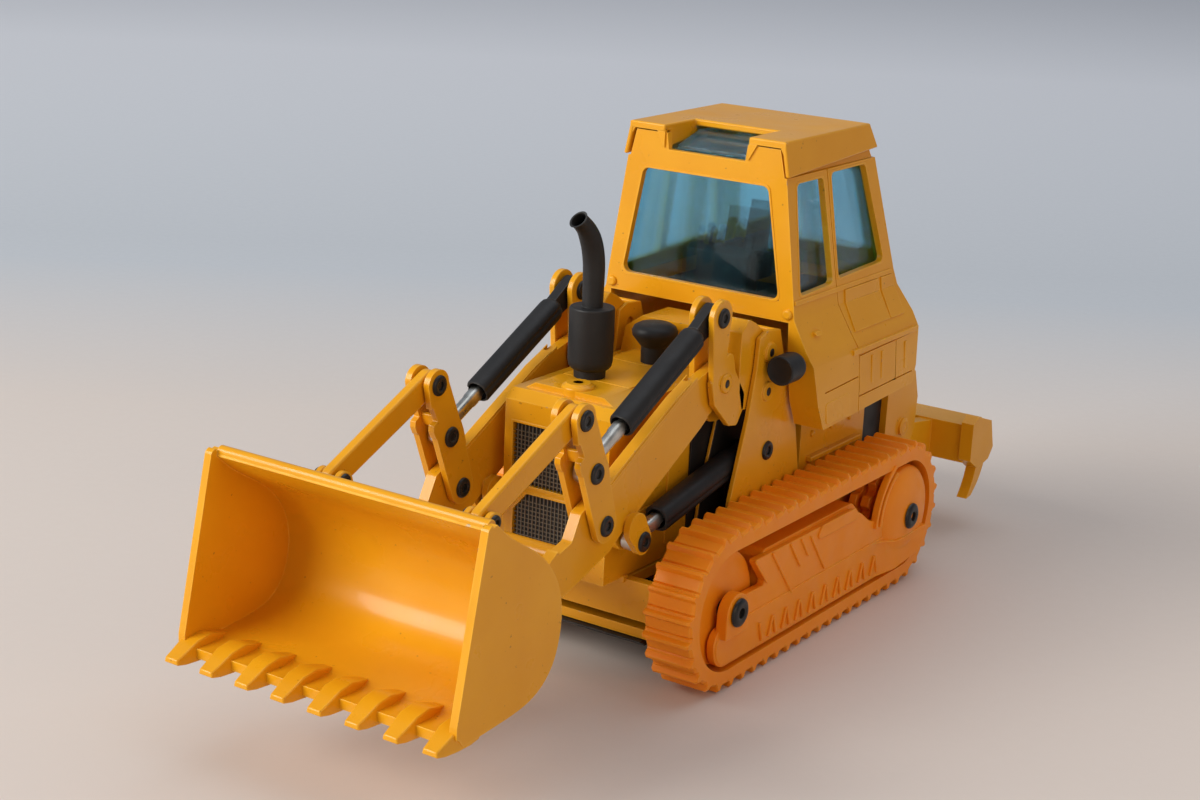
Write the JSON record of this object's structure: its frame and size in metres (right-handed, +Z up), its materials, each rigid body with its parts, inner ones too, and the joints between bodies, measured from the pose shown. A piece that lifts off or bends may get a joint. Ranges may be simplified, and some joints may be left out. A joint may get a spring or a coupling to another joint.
{
  "type": "toy crawler loader",
  "caption": "Yellow die-cast toy track loader with a tilting bucket on lift arms, a glazed cab, hydraulic cylinders and a hinged rear ripper.",
  "frame": {"origin": "middle of the machine's length on the ground plane, on its centre plane", "axes": "+Z up, -Y towards the bucket, +X to the machine's left side"},
  "size_m": [0.048, 0.154, 0.072],
  "materials": {
    "yellow_paint": "semi-gloss enamel",
    "track_orange": "moulded satin",
    "black_trim": "moulded satin",
    "black_rivets": "smooth",
    "bright_rods": "worn plated",
    "blue_glazing": "clear tinted moulding"
  },
  "bodies": {
    "chassis": {"chassis_frame": "yellow_paint", "belly_plate": "black_trim", "engine_hood": "yellow_paint", "grille_insert": "black_trim", "exhaust": "black_trim", "precleaner": "black_trim", "front_axle": "black_trim", "rear_axle": "black_trim", "ripper_bracket": "yellow_paint", "cab_body": "yellow_paint", "cab_roof": "yellow_paint", "cab_glazing": "blue_glazing", "operator_seat": "black_trim", "track_belt_left": "track_orange", "track_frame_left": "track_orange", "loader_tower_left": "yellow_paint", "fork_bracket_left": "yellow_paint", "work_lamp_left": "black_trim", "arm_pivot_left": "yellow_paint", "lift_base_pin_left": "black_rivets", "tilt_base_pin_left": "black_rivets", "track_belt_right": "track_orange", "track_frame_right": "track_orange", "loader_tower_right": "yellow_paint", "fork_bracket_right": "yellow_paint", "work_lamp_right": "black_trim", "arm_pivot_right": "yellow_paint", "lift_base_pin_right": "black_rivets", "tilt_base_pin_right": "black_rivets"},
    "lift_arms": {"lift_arm_left": "yellow_paint", "lift_arm_right": "yellow_paint", "cross_tube": "yellow_paint", "lift_end_pin_left": "black_rivets", "crank_pin_left": "black_rivets", "bucket_pin_left": "black_rivets", "lift_end_pin_right": "black_rivets", "crank_pin_right": "black_rivets", "bucket_pin_right": "black_rivets"},
    "bucket": {"bucket": "yellow_paint"},
    "ripper": {"ripper": "yellow_paint"},
    "crank_left": {"bellcrank_left": "yellow_paint", "link_pin_left": "black_rivets", "tilt_end_pin_left": "black_rivets"},
    "bucket_link_left": {"bucket_link_left": "yellow_paint"},
    "tilt_rod_left": {"tilt_rod_left": "bright_rods"},
    "tilt_barrel_left": {"tilt_barrel_left": "black_trim"},
    "lift_barrel_left": {"lift_barrel_left": "black_trim"},
    "lift_rod_left": {"lift_rod_left": "bright_rods"},
    "idler_left": {"idler_left": "track_orange"},
    "sprocket_left": {"sprocket_left": "track_orange"},
    "crank_right": {"bellcrank_right": "yellow_paint", "link_pin_right": "black_rivets", "tilt_end_pin_right": "black_rivets"},
    "bucket_link_right": {"bucket_link_right": "yellow_paint"},
    "tilt_rod_right": {"tilt_rod_right": "bright_rods"},
    "tilt_barrel_right": {"tilt_barrel_right": "black_trim"},
    "lift_barrel_right": {"lift_barrel_right": "black_trim"},
    "lift_rod_right": {"lift_rod_right": "bright_rods"},
    "idler_right": {"idler_right": "track_orange"},
    "sprocket_right": {"sprocket_right": "track_orange"}
  },
  "joints": [
    {"name": "arm_lift", "type": "hinge", "parent": "chassis", "child": "lift_arms", "pos_m": [0, -0.0044, 0.0401], "axis": [-1, 0, 0], "range_deg": [-10, 32]},
    {"name": "bucket_tilt", "type": "hinge", "parent": "lift_arms", "child": "bucket", "pos_m": [0, -0.0515, 0.0184], "axis": [-1, 0, 0], "range_deg": [-40, 6]},
    {"name": "lift_barrel_swing_left", "type": "hinge", "parent": "chassis", "child": "lift_barrel_left", "pos_m": [0.0117, 0.0071, 0.0279], "axis": [-1, 0, 0], "range_deg": [-7.8, 22.76]},
    {"name": "lift_rod_swing_left", "type": "hinge", "parent": "lift_arms", "child": "lift_rod_left", "pos_m": [0.0117, -0.0235, 0.0222], "axis": [-1, 0, 0], "range_deg": [-11.24, 4.2]},
    {"name": "crank_tilt_left", "type": "hinge", "parent": "lift_arms", "child": "crank_left", "pos_m": [0.0117, -0.0328, 0.0269], "axis": [-1, 0, 0], "range_deg": [-41, 7]},
    {"name": "link_swing_left", "type": "hinge", "parent": "crank_left", "child": "bucket_link_left", "pos_m": [0.0117, -0.0385, 0.0424], "axis": [-1, 0, 0], "range_deg": [-7, 41]},
    {"name": "tilt_rod_swing_left", "type": "hinge", "parent": "crank_left", "child": "tilt_rod_left", "pos_m": [0.0117, -0.0356, 0.0347], "axis": [-1, 0, 0], "range_deg": [-6.61, 38.4]},
    {"name": "tilt_barrel_swing_left", "type": "hinge", "parent": "chassis", "child": "tilt_barrel_left", "pos_m": [0.0117, -0.0061, 0.0497], "axis": [-1, 0, 0], "range_deg": [-10.5, 31.4]},
    {"name": "idler_spin_left", "type": "hinge", "parent": "chassis", "child": "idler_left", "pos_m": [0.018, -0.0137, 0.0116], "axis": [-1, 0, 0], "continuous": true},
    {"name": "sprocket_spin_left", "type": "hinge", "parent": "chassis", "child": "sprocket_left", "pos_m": [0.018, 0.0388, 0.0116], "axis": [-1, 0, 0], "continuous": true},
    {"name": "lift_barrel_swing_right", "type": "hinge", "parent": "chassis", "child": "lift_barrel_right", "pos_m": [-0.0117, 0.0071, 0.0279], "axis": [-1, 0, 0], "range_deg": [-7.8, 22.76]},
    {"name": "lift_rod_swing_right", "type": "hinge", "parent": "lift_arms", "child": "lift_rod_right", "pos_m": [-0.0117, -0.0235, 0.0222], "axis": [-1, 0, 0], "range_deg": [-11.24, 4.2]},
    {"name": "crank_tilt_right", "type": "hinge", "parent": "lift_arms", "child": "crank_right", "pos_m": [-0.0117, -0.0328, 0.0269], "axis": [-1, 0, 0], "range_deg": [-41, 7]},
    {"name": "link_swing_right", "type": "hinge", "parent": "crank_right", "child": "bucket_link_right", "pos_m": [-0.0117, -0.0385, 0.0424], "axis": [-1, 0, 0], "range_deg": [-7, 41]},
    {"name": "tilt_rod_swing_right", "type": "hinge", "parent": "crank_right", "child": "tilt_rod_right", "pos_m": [-0.0117, -0.0356, 0.0347], "axis": [-1, 0, 0], "range_deg": [-6.61, 38.4]},
    {"name": "tilt_barrel_swing_right", "type": "hinge", "parent": "chassis", "child": "tilt_barrel_right", "pos_m": [-0.0117, -0.0061, 0.0497], "axis": [-1, 0, 0], "range_deg": [-10.5, 31.4]},
    {"name": "idler_spin_right", "type": "hinge", "parent": "chassis", "child": "idler_right", "pos_m": [-0.018, -0.0137, 0.0116], "axis": [-1, 0, 0], "continuous": true},
    {"name": "sprocket_spin_right", "type": "hinge", "parent": "chassis", "child": "sprocket_right", "pos_m": [-0.018, 0.0388, 0.0116], "axis": [-1, 0, 0], "continuous": true},
    {"name": "ripper_lift", "type": "hinge", "parent": "chassis", "child": "ripper", "pos_m": [0, 0.0528, 0.021], "axis": [1, 0, 0], "range_deg": [-25, 20]}
  ],
  "couplings": [
    {"joint": "lift_barrel_swing_left", "follows": "arm_lift", "ratio": 0.68},
    {"joint": "lift_rod_swing_left", "follows": "arm_lift", "ratio": -0.32},
    {"joint": "crank_tilt_left", "follows": "bucket_tilt", "ratio": 1},
    {"joint": "link_swing_left", "follows": "bucket_tilt", "ratio": -1},
    {"joint": "tilt_rod_swing_left", "follows": "bucket_tilt", "ratio": -0.935},
    {"joint": "tilt_barrel_swing_left", "follows": "arm_lift", "ratio": 0.95},
    {"joint": "sprocket_spin_left", "follows": "idler_spin_left", "ratio": 1},
    {"joint": "lift_barrel_swing_right", "follows": "arm_lift", "ratio": 0.68},
    {"joint": "lift_rod_swing_right", "follows": "arm_lift", "ratio": -0.32},
    {"joint": "crank_tilt_right", "follows": "bucket_tilt", "ratio": 1},
    {"joint": "link_swing_right", "follows": "bucket_tilt", "ratio": -1},
    {"joint": "tilt_rod_swing_right", "follows": "bucket_tilt", "ratio": -0.935},
    {"joint": "tilt_barrel_swing_right", "follows": "arm_lift", "ratio": 0.95},
    {"joint": "sprocket_spin_right", "follows": "idler_spin_right", "ratio": 1}
  ]
}
